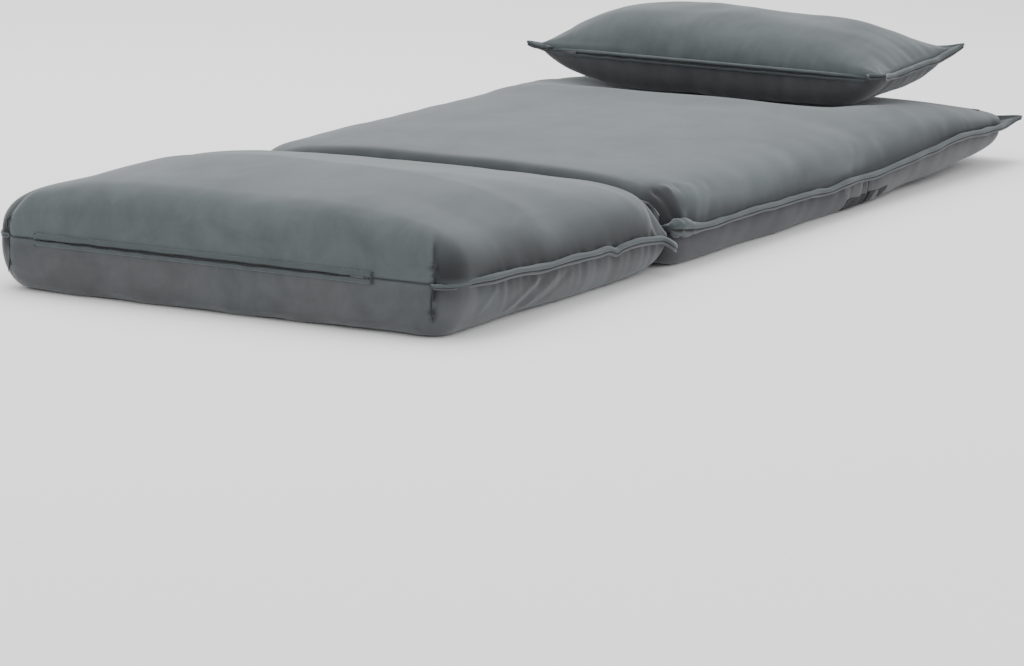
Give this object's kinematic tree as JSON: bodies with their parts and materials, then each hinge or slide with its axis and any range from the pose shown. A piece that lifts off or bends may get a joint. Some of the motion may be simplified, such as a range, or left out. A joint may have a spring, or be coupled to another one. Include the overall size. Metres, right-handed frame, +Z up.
{
  "type": "convertible chair bed",
  "caption": "Fold-out floor chair bed: a thick foot cushion, a framed seat and ratchet back in piped velvet covers, and a loose zipped pillow.",
  "frame": {"origin": "middle of the bed's footprint, on the surface that the seat and the foot cushion lie on", "axes": "+Z up, +Y along the bed from the foot end to the head end, +X across to the side nearest the picture"},
  "size_m": [0.7, 1.8559, 0.2636],
  "materials": {
    "velvet_grey": "short pile velvet",
    "velvet_side": "short pile velvet, darker sides",
    "velvet_charcoal": "charcoal pile cloth",
    "flange_velvet": "folded velvet flange",
    "base_cloth": "black non-slip base cloth",
    "foam": "open cell foam",
    "fibre_fill": "fibre filling",
    "sling_mesh": "woven sling",
    "frame_paint": "black powder coat",
    "hinge_steel": "zinc plated",
    "cap_plastic": "moulded plug",
    "zip_tape": "woven tape",
    "zip_coil": "nylon coil",
    "zip_metal": "gunmetal"
  },
  "bodies": {
    "seat": {"crease_hinge_strip": "base_cloth", "fold_cover_strip": "velvet_grey", "fold_foam_wedge": "foam", "hinge_cheeks_left": "hinge_steel", "hinge_cheeks_right": "hinge_steel", "hinge_pins": "hinge_steel", "pawl_spring_left": "hinge_steel", "pawl_spring_right": "hinge_steel", "seat_base_panel": "base_cloth", "seat_border": "velvet_charcoal", "seat_corner_patches": "base_cloth", "seat_cover_top": "velvet_grey", "seat_foam_base": "foam", "seat_foam_top": "foam", "seat_frame_rivets": "hinge_steel", "seat_front_tube": "frame_paint", "seat_gussets": "velvet_side", "seat_piping": "flange_velvet", "seat_rear_tube": "frame_paint", "seat_side_tube_left": "frame_paint", "seat_side_tube_right": "frame_paint", "seat_sling": "sling_mesh", "seat_tube_caps": "cap_plastic"},
    "foot": {"foot_base_panel": "velvet_side", "foot_border": "velvet_side", "foot_cover_top": "velvet_grey", "foot_end_panel": "velvet_side", "foot_filling": "fibre_fill", "foot_piping": "flange_velvet", "foot_placket": "flange_velvet", "foot_zip_coils": "zip_coil", "foot_zip_tapes": "zip_tape"},
    "foot_slider": {"foot_zip_slider": "zip_metal"},
    "pillow": {"pillow_cover_bottom": "velvet_grey", "pillow_cover_top": "velvet_grey", "pillow_filling": "fibre_fill", "pillow_piping": "flange_velvet", "pillow_placket": "flange_velvet", "pillow_zip_coils": "zip_coil", "pillow_zip_tapes": "zip_tape"},
    "pillow_slider": {"pillow_zip_slider": "zip_metal"},
    "back": {"back_base_panel": "base_cloth", "back_border": "velvet_side", "back_corner_patches": "base_cloth", "back_cover_top": "velvet_grey", "back_cross_tube": "frame_paint", "back_foam_base": "foam", "back_foam_top": "foam", "back_frame_rivets": "hinge_steel", "back_head_tube": "frame_paint", "back_piping": "flange_velvet", "back_side_tube_left": "frame_paint", "back_side_tube_right": "frame_paint", "back_sling": "sling_mesh", "back_tube_caps": "cap_plastic", "ratchet_arm_left": "hinge_steel", "ratchet_arm_right": "hinge_steel"},
    "pawl_left": {"pawl_left": "hinge_steel"},
    "pawl_right": {"pawl_right": "hinge_steel"}
  },
  "joints": [
    {"name": "foot_fold", "type": "hinge", "parent": "seat", "child": "foot", "pos_m": [0, -0.29186, 0.152], "axis": [-1, 0, 0], "range_deg": [0, 180], "deforming": ["crease_hinge_strip"]},
    {"name": "back_recline", "type": "hinge", "parent": "seat", "child": "back", "pos_m": [0, 0.37014, 0.055], "axis": [1, 0, 0], "range_deg": [0, 65], "deforming": ["fold_foam_wedge", "fold_cover_strip"]},
    {"name": "pillow_lift", "type": "slide", "parent": "back", "child": "pillow", "axis": [0, -0.0419, 0.9991], "range_m": [0, 0.3]},
    {"name": "foot_zip_slide", "type": "slide", "parent": "foot", "child": "foot_slider", "axis": [-1, 0, 0], "range_m": [0, 0.4532], "deforming": ["foot_zip_coils"]},
    {"name": "pillow_zip_slide", "type": "slide", "parent": "pillow", "child": "pillow_slider", "axis": [1, 0, 0], "range_m": [0, 0.4592], "deforming": ["pillow_zip_coils"]},
    {"name": "pawl_lift_left", "type": "hinge", "parent": "seat", "child": "pawl_left", "pos_m": [-0.2917, 0.32814, 0.025], "axis": [1, 0, 0], "range_deg": [0, 8], "stiffness_Nm_per_rad": 0.1, "springref_deg": -22.92, "deforming": ["pawl_spring_left"]},
    {"name": "pawl_lift_right", "type": "hinge", "parent": "seat", "child": "pawl_right", "pos_m": [0.2917, 0.32814, 0.025], "axis": [1, 0, 0], "range_deg": [0, 8], "stiffness_Nm_per_rad": 0.1, "springref_deg": -22.92, "deforming": ["pawl_spring_right"]}
  ]
}
